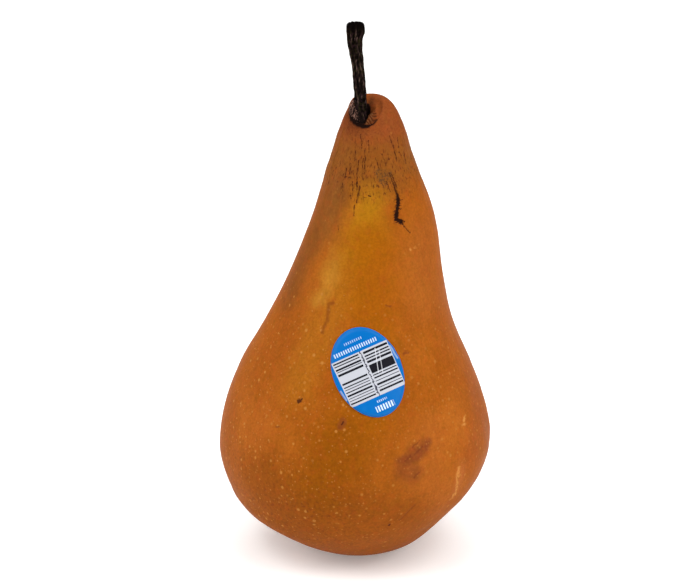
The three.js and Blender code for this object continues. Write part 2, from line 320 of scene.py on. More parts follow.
pear = {
    "undulation": {"size": 24, "height": 0.7},
    "dimples": {"size": 7, "height": 0.16},
    "neckFurrows": {"size": 2.2, "stretch": 9, "height": 0.4, "from": 96, "to": 112},
    "footKeptFlat": (1.5, 9),
    "scar": {"depth": 0.45, "lip": 0.12, "lipOut": 0.9},
    "brownScarDepth": 0.12,
    "stalkAxis": (1.5, -0.9),
    "hollow": {  # degrees run round the stalk, 0 at the right and -90 in front, and are followed by mm
        "starts": (120.5, 124.5),
        "closed": [(-105, 0), (-52, 1.3), (0, 1.3), (12, 0), (30, 0)],
        "raised": [(-105, 0), (-75, 0.35), (-50, 0.7), (-20, 0.4), (10, 0)],
        "narrowed": {"middle": 60, "half": 60, "soft": 40, "inwards": 0.3},
        "crease": [(-215, 2.75), (-180, 2.7), (-150, 2.8), (-135, 2.85), (-125, 3.0), (-110, 3.22),
                   (-90, 3.1), (-75, 3.35), (-63, 3.7), (-52, 3.98), (-41, 4.35), (-31, 4.75), (-22, 5.0),
                   (0, 4.3), (15, 3.4)],
        "creaseHalfWidth": [(-180, 0.32), (-90, 0.44), (-60, 0.5), (-40, 0.46), (0, 0.3)],
        "creaseEnds": [(-27, 1), (-16, 0)],
        "creaseDepth": 0.08,
        "shadowEnds": [(-27, 1), (-17, 0)],
        "lip": {"out": 0.3, "height": 0.3},
        "wrinkles": {"apart": 9.5, "depth": 0.1},
        "filled": {"at": (5.4, 0.8), "size": 1.9, "height": 0.45},
        # how far from the stalk the gap is painted near black as shade
        "gap": [(-180, 2.6), (-150, 2.65), (-125, 2.85), (-100, 2.9), (-80, 2.7), (-60, 2.3), (0, 2.05),
                (12, 2.4), (25, 2.9), (40, 3.5), (55, 3.9), (68, 3.9), (90, 3.1), (120, 2.8)],
        # painted shade on the slope behind and right of the stalk: where, its size and its strength
        "shadeBehindStalk": {"at": (4.3, 2.5), "size": (1.1, 1.5), "strength": 0.6},
        "ring": {"fades": 1.7, "strength": 0.8, "round": [(-200, 1), (-120, 0.9), (-60, 0.6), (-20, 0.1)]},
    },
    "trim": [  # height, then how far the left and the right side move out
        (1.5, 0, 0), (4, -0.5, -0.6), (8, -0.2, -1.2), (13, 1.2, -1.6), (17, 0.9, -0.9), (20, 0.4, 0),
        (30, 0.4, 0.6), (36, 0.1, 0.7), (45, 0, 0.3), (55, -0.15, 0.1), (62, -0.45, -0.2),
        (70, -0.3, -0.1), (80, -0.35, 0.05), (88, -0.25, 0.05), (95, -0.4, 0.3), (100, -0.5, 0.4),
        (105, -0.35, 0.15), (112, 0, -0.38), (118, 0, -0.4), (122, 0, -0.2), (125.5, -0.45, -0.33),
        (129, -0.95, -0.2), (132, -0.5, 0)],
}


def aroundStalk(points):  # distance from the stalk's axis, and degrees round it
    away = points[:, :2] - np.array(pear["stalkAxis"])
    return np.hypot(away[:, 0], away[:, 1]), np.degrees(np.arctan2(away[:, 1], away[:, 0]))


def fromLines(points, lines):  # mm from each point to the nearest edge of the drawn lines
    nearest = np.full(len(points), 1e3)
    flat = points[:, [0, 2]]
    for x1, z1, x2, z2, halfWidth in lines:
        start, way = np.array((x1, z1)), np.array((x2 - x1, z2 - z1))
        share = np.clip((flat - start) @ way / (way @ way), 0, 1)
        nearest = np.minimum(nearest, np.linalg.norm(flat - start - share[:, None] * way, axis=1) - halfWidth)
    nearest[points[:, 1] > 0] = 1e3
    return nearest


# small changes of the left and right outline, most of them low down and round the crown
def trimSides(fruit):
    points, facing = readPoints(fruit) / mm, readPoints(fruit, "normal")[:, 0]
    heights, left, right = np.array(pear["trim"]).T
    outLeft, outRight = np.interp(points[:, 2], heights, left), np.interp(points[:, 2], heights, right)
    reach, _ = aroundStalk(points)
    points[:, 0] += np.where(facing < 0, -outLeft, outRight) * abs(facing) * ease(2.6, 3.6, reach)
    placePoints(fruit, points)


# flesh closes round the stalk: a crease in front, a wrinkled fold at its right, a gap behind
def foldHollow(fruit):
    hollow = pear["hollow"]
    points = readPoints(fruit) / mm
    reach, degrees = aroundStalk(points)
    way = (points[:, :2] - np.array(pear["stalkAxis"])) / np.maximum(reach, 0.1)[:, None]
    top = ease(*hollow["starts"], points[:, 2])
    degrees = np.where(degrees > 145, degrees - 360, degrees)
    turn = np.radians(degrees)
    narrowed = hollow["narrowed"]
    beyond = np.abs((degrees - narrowed["middle"] + 180) % 360 - 180) - narrowed["half"]
    closed = lookUp(hollow["closed"], degrees)
    pull = closed + narrowed["inwards"] * (1 - ease(0, narrowed["soft"], beyond))
    reach = reach - pull * top * (1 - ease(3.1, 5.2, reach))
    points[:, :2] = np.array(pear["stalkAxis"]) + way * reach[:, None]
    points[:, 2] += lookUp(hollow["raised"], degrees) * top * (1 - ease(2.7, 3.6, reach))

    wobble = 0.06 * np.sin(turn * 7) + 0.04 * np.sin(turn * 17 + 1)
    offLine = reach - lookUp(hollow["crease"], degrees) - wobble
    line = np.exp(-(offLine / lookUp(hollow["creaseHalfWidth"], degrees)) ** 2) * top
    crease = line * lookUp(hollow["creaseEnds"], degrees)
    shadow = line * lookUp(hollow["shadowEnds"], degrees)
    wave = turn * 360 / hollow["wrinkles"]["apart"] + 2.1 * np.sin(degrees * 0.11)
    wave = np.cos(wave + 1.3 * np.sin(reach * 2.3 + degrees * 0.05))
    wrinkled = closed / closed.max() * top * ease(1.7, 2.1, reach) * (1 - ease(-0.5, 0.3, offLine))
    lip = np.exp(-((offLine - hollow["lip"]["out"]) / 0.45) ** 2) * top
    lip *= lookUp([(-215, 0), (-190, 1), (-100, 1), (-75, 0)], degrees)
    filled, shadeBehindStalk = hollow["filled"], hollow["shadeBehindStalk"]
    away = np.linalg.norm(points[:, :2] - np.array(filled["at"]), axis=1)
    points[:, 2] += filled["height"] * np.exp(-(away / filled["size"]) ** 2) * top
    points[:, 2] += hollow["lip"]["height"] * lip
    points[:, 2] += hollow["wrinkles"]["depth"] * wave * wrinkled
    points[:, 2] -= hollow["creaseDepth"] * crease * lookUp([(-85, 0), (-62, 1)], degrees)
    placePoints(fruit, points)

    # what lies in the dark is painted near black as shade; brown staining, mixed with painted shade in the
    # wrinkles' troughs and behind the stalk, and painted highlights on the wrinkles' pale crests are kept on
    # the points for the material
    # painted shade: the gap is painted near black, and the crease gets a dark line
    gap = (1 - ease(-0.15, 0.3, reach - lookUp(hollow["gap"], degrees))) * ease(117, 119, points[:, 2])
    uneven = 0.5 + 0.5 * np.sin(turn * 11 + 2 * reach) * np.sin(turn * 5 - reach)
    # the wrinkles' troughs: staining mixed with painted shade
    wrinkles = ease(0, 0.8, -wave) * wrinkled * (0.35 + 0.65 * uneven)
    # painted shade behind the stalk
    away = (points[:, :2] - np.array(shadeBehindStalk["at"])) / np.array(shadeBehindStalk["size"])
    shadedBehindStalk = shadeBehindStalk["strength"] * np.exp(-(away ** 2).sum(axis=1)) * top
    ring = hollow["ring"]
    ringed = ring["strength"] * np.exp(-np.maximum(offLine, 0) / ring["fades"]) * top * (offLine > -0.1)
    ringed *= lookUp(ring["round"], degrees)
    stainedAndShaded = np.maximum.reduce((1.7 * wrinkles, 0.35 * wrinkled, shadedBehindStalk, ringed))
    keepOnPoints(fruit, "inTheDark", np.clip(np.maximum(gap, 1.25 * shadow), 0, 1))
    keepOnPoints(fruit, "stainedAndShaded", np.clip(stainedAndShaded, 0, 1))
    # painted highlight on the wrinkles' crests
    keepOnPoints(fruit, "palerFold", ease(0, 0.9, wave) * wrinkled * (1 - ease(3.0, 4.0, reach)))


def makeFruit():
    fruit = bpy.data.objects.new("pearSkin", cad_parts["fruit"].data.copy())
    view.collection.objects.link(fruit)
    pick(fruit)
    editAll()
    bpy.ops.mesh.remove_doubles(threshold=0.002 * mm)
    bpy.ops.mesh.tris_convert_to_quads(face_threshold=math.radians(60), shape_threshold=math.radians(60))
    bpy.ops.object.mode_set(mode="OBJECT")
    applyModifier(fruit, "SUBSURF", levels=2, render_levels=2)
    trimSides(fruit)
    foldHollow(fruit)

    heights = readPoints(fruit)[:, 2] / mm
    body = weightGroup(fruit, "body", ease(*pear["footKeptFlat"], heights) * (1 - ease(122, 128, heights)))
    furrow = pear["neckFurrows"]
    grooved = ease(furrow["from"], furrow["to"], heights) * (1 - ease(124, 129, heights))
    neck = weightGroup(fruit, "neck", grooved)
    for name in ("undulation", "dimples"):
        roughen(fruit, name, pear[name]["size"], pear[name]["height"], mid_level=0.5, vertex_group=body)
    roughen(fruit, "furrows", furrow["size"], furrow["height"], 1, furrow["stretch"], mid_level=0.5,
            vertex_group=neck)

    points = readPoints(fruit) / mm
    scar, away = pear["scar"], fromLines(points, marks["scar"]["lines"])
    groove, lip = 1 - ease(-0.3, 0.5, away), 1 - ease(0, 0.7, abs(away - scar["lipOut"]))
    shallow = 1 - ease(-0.2, 0.6, fromLines(points, marks["brownScar"]["lines"]))
    movePoints(fruit, scar["lip"] * lip - scar["depth"] * groove - pear["brownScarDepth"] * shallow)
    fruit.vertex_groups.clear()
    return fruit


# node group for a drawn line

def makeStrokeGroup():  # 1 on a line with a half width, fading to 0 over its soft edge
    group = bpy.data.node_groups.new("stroke", "ShaderNodeTree")
    for name in ("Point", "From", "To"):
        group.interface.new_socket(name, in_out="INPUT", socket_type="NodeSocketVector")
    for name in ("Half width", "Soft"):
        group.interface.new_socket(name, in_out="INPUT", socket_type="NodeSocketFloat")
    group.interface.new_socket("Mask", in_out="OUTPUT", socket_type="NodeSocketFloat")
    add, given = partial(addNode, group), group.nodes.new("NodeGroupInput").outputs
    away = add("VectorMath", {0: given["Point"], 1: given["From"]}, operation="SUBTRACT")
    way = add("VectorMath", {0: given["To"], 1: given["From"]}, operation="SUBTRACT")
    reach = add("VectorMath", {0: away, 1: way}, "Value", operation="DOT_PRODUCT")
    whole = add("VectorMath", {0: way, 1: way}, "Value", operation="DOT_PRODUCT")
    share = add("Math", {0: reach, 1: whole}, operation="DIVIDE")
    share = add("Math", {0: share, 1: 0.0}, operation="MAXIMUM")
    share = add("Math", {0: share, 1: 1.0}, operation="MINIMUM")
    nearest = add("VectorMath", {0: way, "Scale": share}, operation="SCALE")
    gap = add("VectorMath", {0: away, 1: nearest}, "Value", operation="DISTANCE")
    over = add("Math", {0: gap, 1: given["Half width"]}, operation="SUBTRACT")
    mask = add("MapRange", {"Value": over, "From Min": given["Soft"], "From Max": 0.0},
               interpolation_type="SMOOTHSTEP", clamp=False)
    group.links.new(mask, group.nodes.new("NodeGroupOutput").inputs["Mask"])
    return group


stroke = makeStrokeGroup()


def strokes(add, point, lines, soft):  # lines as two ends and a half width
    whole = None
    for start, end, halfWidth in lines:
        ends = {"Point": point, "From": start, "To": end, "Half width": halfWidth, "Soft": soft}
        mask = add("Group", ends, node_tree=stroke)
        whole = mask if whole is None else add("Math", {0: whole, 1: mask}, operation="MAXIMUM")
    return whole


# russet skin: a corky net over green-gold flesh, waxed by handling, so it is a soft, slightly silky
# orange brown with pale breathing pores, flanks painted redder and darker as shade where the skin turns
# away, and dry and cracked round the stalk

russetSkin = {
    "ground": {"size": 16, "stops": [(0.34, "#8b480f"), (0.5, "#924e13"), (0.68, "#985316")]},
    "roughness": (0.46, 0.6),
    "tint": "#f2c49a",
    "bands": [  # colour, strength, soft edge, half width, then the points that each runs through
        # the first three: a golden streak down the front-left of the neck, golden skin with a painted soft
        # highlight
        ("#996610", 0.9, 8, 1, [(4.6, -11, 109), (2, -15, 97), (-2.6, -17.7, 85)]),
        ("#985915", 0.85, 7, 1.5, [(-2.6, -17.7, 85), (-8.1, -19.4, 75.6), (-13.5, -22.2, 65),
                                   (-15, -25, 58)]),
        ("#a67024", 0.8, 4, 0.5, [(-6, -15, 92), (-9.5, -16, 80)]),
        ("#5f3b1a", 0.95, 9.5, 0.6, [(-4, -3, 119), (-6.8, -4, 109), (-10.8, -3.5, 99), (-15, -4, 89),
                                     (-18, -5.5, 80)]),
        ("#904e08", 0.8, 9, 2, [(3.8, -16, 94.5), (4.4, -19, 84), (3.8, -22.4, 73.9), (2.7, -32.8, 51.9),
                                (-2.7, -34.8, 46.8)]),
        ("#82460a", 0.95, 11, 2, [(-2.7, -34.8, 46.8), (-6.7, -36.4, 38.7), (-12.2, -35.3, 29.3)]),
        ("#7f420f", 0.9, 13, 3, [(-25, -25, 33), (-20, -29, 20)]),
        ("#96531b", 0.8, 8, 1.5, [(17.8, -11, 92.8), (18.9, -13.5, 79.2)]),
        ("#99531c", 0.8, 9, 2, [(21, -29, 44.5), (19.1, -32, 34), (26, -27, 24)]),
        ("#6b341c", 0.75, 2.6, 0.7, [(13.2, -34, 40.4), (15.6, -32.7, 41.8), (18.2, -30.5, 43.5)]),
        ("#713a1c", 0.65, 3.6, 0.8, [(13.2, -34, 36.5), (15.2, -33.5, 35.8)]),
        ("#a9632a", 0.65, 2.4, 0.5, [(30.2, -22, 47), (29.6, -22.5, 45.2)]),
        ("#a25c2e", 0.6, 3.6, 0.4, [(28.6, -24, 34), (28, -24, 27)]),
        ("#8e4218", 0.5, 6, 1, [(31, -20, 36), (32, -18, 42)]),
        ("#9f581b", 0.7, 8, 1, [(-32, -17, 47), (-31, -17, 41)]),
        ("#9f581b", 0.7, 8, 1, [(27, -23, 49), (28, -22, 43)]),
        ("#773c0c", 0.45, 10, 2, [(0, -36, 26), (8, -36, 27), (16, -31, 20)]),
        ("#8a4712", 0.75, 9, 2, [(-20, -13, 69), (-24, -15, 60)]),
        ("#8b4a18", 0.6, 7, 1, [(19, -9, 97), (20, -10, 88)]),
        ("#6d451c", 0.55, 7, 1, [(-6.5, -7, 105), (-7, -8, 98)]),
        ("#6c452f", 0.5, 5, 0.5, [(-4.6, -3.2, 117), (-5.4, -3.6, 112)]),
        ("#763822", 0.5, 3.6, 0.5, [(-2, -2.5, 126), (-3.2, -3.4, 121)]),
        ("#823f15", 0.8, 8, 1, [(35, -8, 51), (36, -9, 41)]),
        ("#834615", 0.6, 7, 1, [(-36, -10, 44), (-36, -11, 37)]),
        ("#a1571c", 0.6, 7, 1, [(-25, -24, 49), (-27, -23, 41)]),
        ("#98600c", 0.6, 9, 1, [(10, 17, 108), (6, 19, 97), (-2, 21, 86)]),
        ("#7f4410", 0.7, 12, 3, [(16, 26, 60), (20, 28, 42), (12, 33, 28)]),
        ("#7e430e", 0.6, 12, 2, [(-26, 14, 50), (-30, 12, 34), (-22, 20, 18)]),
    ],
    "zones": [  # colour, strength, and where it starts and is full
        ("shadedFlank", "#8e4a15", 0.6, 0.6, 1),  # painted shade: redder and darker by how far the skin turns away to the side
        ("foot", "#7f4110", 0.85, 36, 6),  # by height
        ("cap", "#7a4618", 0.9, 104, 115),
        ("crown", "#7b3d1c", 0.9, 117, 126),
    ],
    "shades": [(3, 3, 0.955), (0.62, 0.62, 0.89), (1.1, 8, 0.95)],  # size across and upwards, and how dark
    "hues": {"size": 1.9, "strength": 0.25, "colours": ["#75490a", "#9c4317"]},
    "pores": [  # spacing and radius in mm
        {"apart": 1.15, "radius": 0.36, "colour": "#a96d32", "strength": 0.66},
        {"apart": 2.2, "radius": 0.7, "colour": "#aa7030", "strength": 0.82},
    ],
    "bareNeck": (55, 98, 0.7),  # from and to which height, and the share of pores that is missing there
    "pits": {"size": 0.8, "colour": "#5a2e12", "strongest": 0.5, "from": 44, "to": 26},
    "fissures": {"across": 0.42, "upwards": 3.6, "colour": "#472311", "from": 104, "to": 128,
                 "stops": [(0, "#000000"), (0.27, "#e7e7e7"), (0.5, "#d3d3d3"), (1, "#818181")]},
    "stainsShadeAndHighlights": [  # name on the points, colour, strength and raggedness
        # pale fold crests are painted highlight, the fold's staining is mixed with painted shade, and what
        # lies in the dark is painted shade
        ("palerFold", "#6f5034", 0.7, 0.7), ("stainedAndShaded", "#42200f", 0.9, 0.6),
        ("inTheDark", "#120806", 1.0, 0.2)],
}


def makeRussetSkin():
    given = russetSkin
    material, add = newMaterial("russetSkin")
    point = inMillimetres(add)
    axes = add("SeparateXYZ", {0: point}, None).outputs
    facing = add("SeparateXYZ", {0: add("TexCoord", out="Normal")}, None).outputs
    front = add("MapRange", {"Value": axes["Y"], "From Min": 2.0, "From Max": -3.0},
                interpolation_type="SMOOTHSTEP")

    # noise moves the points, so that no line is straight; drawn marks use x and z only
    flat = add("CombineXYZ", {"X": axes["X"], "Z": axes["Z"]})
    moved = {}
    for key, start, size, detail, far in (
            ("widely", flat, 1.4, 2, (0.9, 0, 0.9)),
            ("finely", flat, 0.4, 1, (0.55, 0, 0.55)),
            ("drifting", point, 9, 3, (7, 7, 7))):
        noise = add("TexNoise", {"Vector": point, "Scale": 1 / size, "Detail": detail}, "Color")
        noise = add("VectorMath", {0: noise, 1: (0.5, 0.5, 0.5)}, operation="SUBTRACT")
        moved[key] = add("VectorMath", {0: noise, 1: far, 2: start}, operation="MULTIPLY_ADD")

    # ground colour, with bands of other colours over it
    ground = given["ground"]
    tone = add("TexNoise", {"Vector": point, "Scale": 1 / ground["size"], "Detail": 4.0, "Roughness": 0.55})
    colour = add("ValToRGB", {0: tone}, stops=ground["stops"])
    for code, strength, soft, halfWidth, path in given["bands"]:
        lines = [(start, end, halfWidth) for start, end in zip(path, path[1:])]
        mask = strokes(add, moved["drifting"], lines, soft)
        share = add("Math", {0: mask, 1: strength}, operation="MULTIPLY")
        colour = add("Mix", {0: share, 6: colour, 7: code}, 2, data_type="RGBA")

    # flanks painted redder and darker as shade, a browner foot, and a dry brown cap that ends in a ragged
    # line below the stalk
    high = add("SeparateXYZ", {0: moved["drifting"]}, None).outputs["Z"]
    side = add("Math", {0: facing["X"]}, operation="ABSOLUTE")
    for name, code, strength, start, full in given["zones"]:
        value = side if name == "shadedFlank" else high
        mask = add("MapRange", {"Value": value, "From Min": start, "From Max": full, "To Max": strength},
                   interpolation_type="SMOOTHSTEP")
        colour = add("Mix", {0: mask, 6: colour, 7: code}, 2, data_type="RGBA")

    # mottling, grain, up-and-down streaks and two hues
    shade = None
    for across, upwards, low in given["shades"]:
        noise = add("VectorMath", {0: point, 1: (1 / across, 1 / across, 1 / upwards)}, operation="MULTIPLY")
        noise = add("TexNoise", {"Vector": noise, "Scale": 1.0, "Detail": 3.0, "Roughness": 0.6})
        noise = add("MapRange", {"Value": noise, "From Min": 0.35, "From Max": 0.65, "To Min": low,
                                 "To Max": 2 - low})
        shade = noise if shade is None else add("Math", {0: shade, 1: noise}, operation="MULTIPLY")
    colour = add("VectorMath", {0: colour, "Scale": shade}, operation="SCALE")
    hue = add("TexNoise", {"Vector": point, "Scale": 1 / given["hues"]["size"], "Detail": 2.0}, "Color")
    hue = add("SeparateColor", {0: hue}, None).outputs
    strength = given["hues"]["strength"]
    for channel, code in enumerate(given["hues"]["colours"]):
        share = add("MapRange", {"Value": hue[channel], "From Min": 0.5, "From Max": 0.75,
                                 "To Max": strength})
        colour = add("Mix", {0: share, 6: colour, 7: code}, 2, data_type="RGBA")

    # breathing pores, fewer towards the neck and fainter towards the right
    height = None
    low, full, share = given["bareNeck"]
    bare = add("MapRange", {"Value": high, "From Min": low, "From Max": full, "To Max": share},
               interpolation_type="SMOOTHSTEP")
    clear = add("Math", {0: bare, 1: 0.6})
    turned = add("MapRange", {"Value": axes["X"], "From Min": 14.0, "From Max": -4.0, "To Min": 0.6})
    for pore in given["pores"]:
        cell = add("TexVoronoi", {"Vector": point, "Scale": 1 / pore["apart"]}, None)
        chance = add("SeparateColor", {0: cell.outputs["Color"]}, None).outputs
        radius = add("MapRange", {"Value": chance[0], "To Min": 0.5 * pore["radius"],
                                  "To Max": pore["radius"]})
        radius = add("Math", {0: radius, 1: 1 / pore["apart"]}, operation="MULTIPLY")
        share = add("Math", {0: cell.outputs["Distance"], 1: radius}, operation="DIVIDE")
        dot = add("MapRange", {"Value": share, "From Min": 1.0, "From Max": 0.3},
                  interpolation_type="SMOOTHSTEP")
        strength = add("MapRange", {"Value": chance[1], "From Min": bare, "From Max": clear, "To Min": -0.15,
                                    "To Max": pore["strength"]})
        strength = add("Math", {0: strength, 1: 0.0}, operation="MAXIMUM")
        strength = add("Math", {0: strength, 1: turned}, operation="MULTIPLY")
        dot = add("Math", {0: dot, 1: strength}, operation="MULTIPLY")
        colour = add("Mix", {0: dot, 6: colour, 7: pore["colour"]}, 2, data_type="RGBA")
        height = dot if height is None else add("Math", {0: height, 1: dot}, operation="MAXIMUM")

    # small dark pits, close together towards the foot and the left
    pit = given["pits"]
    speckle = add("TexNoise", {"Vector": point, "Scale": 1 / pit["size"], "Detail": 1.0})
    speckle = add("MapRange", {"Value": speckle, "From Min": 0.52, "From Max": 0.72,
                               "To Max": pit["strongest"]})
    for value, start, full, least in ((high, pit["from"], pit["to"], 0.15), (axes["X"], 12, -8, 0.25)):
        share = add("MapRange", {"Value": value, "From Min": start, "From Max": full, "To Min": least})
        speckle = add("Math", {0: speckle, 1: share}, operation="MULTIPLY")
    colour = add("Mix", {0: speckle, 6: colour, 7: pit["colour"]}, 2, data_type="RGBA")

    # fine upright cracks in the dry cap, most of them where it ends
    fissures = given["fissures"]
    shape = (1 / fissures["across"], 1 / fissures["across"], 1 / fissures["upwards"])
    fissure = add("VectorMath", {0: point, 1: shape}, operation="MULTIPLY")
    fissure = add("TexNoise", {"Vector": fissure, "Scale": 1.0, "Detail": 2.0, "Roughness": 0.6})
    fissure = add("MapRange", {"Value": fissure, "From Min": 0.55, "From Max": 0.66},
                  interpolation_type="SMOOTHSTEP")
    dry = add("MapRange", {"Value": high, "From Min": fissures["from"], "From Max": fissures["to"]})
    dry = add("ValToRGB", {0: dry}, stops=fissures["stops"])
    fissure = add("Math", {0: fissure, 1: dry}, operation="MULTIPLY")
    colour = add("Mix", {0: fissure, 6: colour, 7: fissures["colour"]}, 2, data_type="RGBA")

    # round the stalk the skin has red brown staining, with painted shade in the wrinkles and behind the stalk
    # and painted highlights on the wrinkles' crests; the crease and the gap are painted near black as shade
    rubbed = add("TexNoise", {"Vector": point, "Scale": 1 / 0.45, "Detail": 2.0})
    for name, code, strength, raggedness in given["stainsShadeAndHighlights"]:
        mask = add("Attribute", attribute_name=name, out="Fac")
        mask = add("Math", {0: rubbed, 1: raggedness, 2: mask}, operation="MULTIPLY_ADD")
        low, full = 0.1 + raggedness / 2, 0.7 + raggedness / 2
        mask = add("MapRange", {"Value": mask, "From Min": low, "From Max": full, "To Max": strength})
        colour = add("Mix", {0: mask, 6: colour, 7: code}, 2, data_type="RGBA")

    # drawn marks
    left = {"whole": 1.0}
    for key, worn in wear.items():
        across, upwards = worn["size"]
        noise = add("VectorMath", {0: point, 1: (1 / across, 1 / across, 1 / upwards)}, operation="MULTIPLY")
        noise = add("TexNoise", {"Vector": noise, "Scale": 1.0, "Detail": worn["detail"],
                                 "Roughness": worn["roughness"]})
        (low, high), (least, most) = worn["noise"], worn["left"]
        left[key] = add("MapRange", {"Value": noise, "From Min": low, "From Max": high, "To Min": least,
                                     "To Max": most})
    depth = None
    for name, mark in marks.items():
        lines = [((x1, 0, z1), (x2, 0, z2), halfWidth) for x1, z1, x2, z2, halfWidth in mark["lines"]]
        mask = strokes(add, moved[mark["bent"]], lines, mark["soft"])
        for share in (front, left[mark["worn"]], mark["strength"]):
            mask = add("Math", {0: mask, 1: share}, operation="MULTIPLY")
        colour = add("Mix", {0: mask, 6: colour, 7: mark["colour"]}, 2, data_type="RGBA")
        if name not in flatMarks:
            depth = mask if depth is None else add("Math", {0: depth, 1: mask}, operation="MAXIMUM")

    relief = add("TexNoise", {"Vector": point, "Scale": 1 / 0.5, "Detail": 3.0, "Roughness": 0.6})
    relief = add("Math", {0: relief, 1: 0.5, 2: height}, operation="MULTIPLY_ADD")
    relief = add("Math", {0: depth, 1: -2.0, 2: relief}, operation="MULTIPLY_ADD")
    bump = add("Bump", {"Height": relief, "Distance": 0.05 * mm, "Strength": 1.0})
    smooth, rough = given["roughness"]
    gloss = add("MapRange", {"Value": tone, "From Min": 0.3, "From Max": 0.7, "To Min": smooth,
                             "To Max": rough})
    shader = add("BsdfPrincipled", {
        "Base Color": colour, "Roughness": gloss, "Normal": bump,
        "Specular IOR Level": 0.02, "Specular Tint": given["tint"],
        "Subsurface Weight": 0.06, "Subsurface Radius": (1.0, 0.4, 0.15), "Subsurface Scale": 1.2 * mm})
    add("OutputMaterial", {"Surface": shader}, None)
    return material


fruit = makeFruit()
finishPiece(fruit, makeRussetSkin(), "fruit")


# stalk

stalk = {
    "sections": [  # x, y, height and half width
        (1.5, -0.9, 118.4, 1.5), (1.5, -0.9, 120.0, 1.75), (1.5, -0.9, 123.5, 1.72),
        (1.6, -0.9, 126.5, 1.8), (1.65, -0.8, 129.0, 1.78), (1.58, -0.6, 131.5, 1.74),
        (1.46, -0.4, 134.0, 1.7), (1.3, -0.1, 136.5, 1.66), (1.06, 0.2, 139.3, 1.66),
        (0.72, 0.6, 142.3, 1.68), (0.33, 0.9, 144.8, 1.88), (0.02, 1.2, 147.2, 2.08),
        (-0.1, 1.3, 148.8, 2.12), (0.05, 1.4, 150.2, 2.3), (0.12, 1.4, 151.6, 2.38),
        (0.14, 1.4, 152.6, 2.3), (0.14, 1.4, 153.0, 2.05)],
    "sides": 36,
    "ridges": 9,
    "ridgeDepth": 0.08,
    "twist": 0.045,  # radians a millimetre
    "grain": {"size": 0.5, "stretch": 5, "height": 0.55},
    "knob": {"at": (2.2, 150.6), "size": (1.1, 1.7), "height": 0.35},
    # each step over the cut end: its share of the width before, and its rise
    "cutEnd": [(0.88, 0.0), (0.85, -0.3), (0.7, -0.1), (0.6, 0.05), (0.5, 0.1)],
    "bark": [(0.46, "#040202"), (0.68, "#100b09"), (0.9, "#6b554d")],
    "tints": ["#2c2814", "#301f22"],
    "darkTop": {"colour": "#080505", "from": 150, "to": 152.4},
}


def growStalk():
    sections = [[Vector(s[:3]) * mm, s[3] * mm] for s in stalk["sections"]]
    middle, radius = sections[0]
    piece = addCircle(stalk["sides"], radius, middle=middle)
    piece.name = "driedStalk"
    for corner in piece.data.vertices:  # ridges start here and run up with the extrusions
        angle = math.atan2(corner.co.y, corner.co.x)
        ridge = math.cos(stalk["ridges"] * angle) * (0.7 + 0.3 * math.cos(angle + 1)) - 0.25
        corner.co *= 1 + stalk["ridgeDepth"] * ridge
    editAll()
    for (before, widthBefore), (middle, width) in zip(sections, sections[1:]):
        extrude(middle - before, width / widthBefore, middle)
        turn = stalk["twist"] * (middle - before).z / mm
        bpy.ops.transform.rotate(value=turn, orient_axis="Z", center_override=middle)
    for share, rise in stalk["cutEnd"]:  # steps inwards over the hollow end
        extrude((0, 0, rise * mm), share, middle)
    bpy.ops.object.mode_set(mode="OBJECT")
    bpy.ops.object.transform_apply(location=True)
    applyModifier(piece, "SUBSURF", levels=2, render_levels=2)
    grain, knob = stalk["grain"], stalk["knob"]
    roughen(piece, "stalkGrain", grain["size"], grain["height"], 2, grain["stretch"], mid_level=0.55)

    # how far each point stands out of a plain round stalk is kept for the colour: painted shade in the
    # grooves and painted highlights on the ridges
    points = readPoints(piece) / mm
    xs, ys, heights, widths = np.array(stalk["sections"]).T
    axis = np.column_stack([np.interp(points[:, 2], heights, values) for values in (xs, ys)])
    relief = np.linalg.norm(points[:, :2] - axis, axis=1) - np.interp(points[:, 2], heights, widths)
    away = (points[:, [0, 2]] - np.array(knob["at"])) / np.array(knob["size"])
    movePoints(piece, knob["height"] * np.exp(-(away ** 2).sum(axis=1)))
    keepOnPoints(piece, "relief", np.clip(relief / 0.5 + 0.5, 0, 1))
    return piece


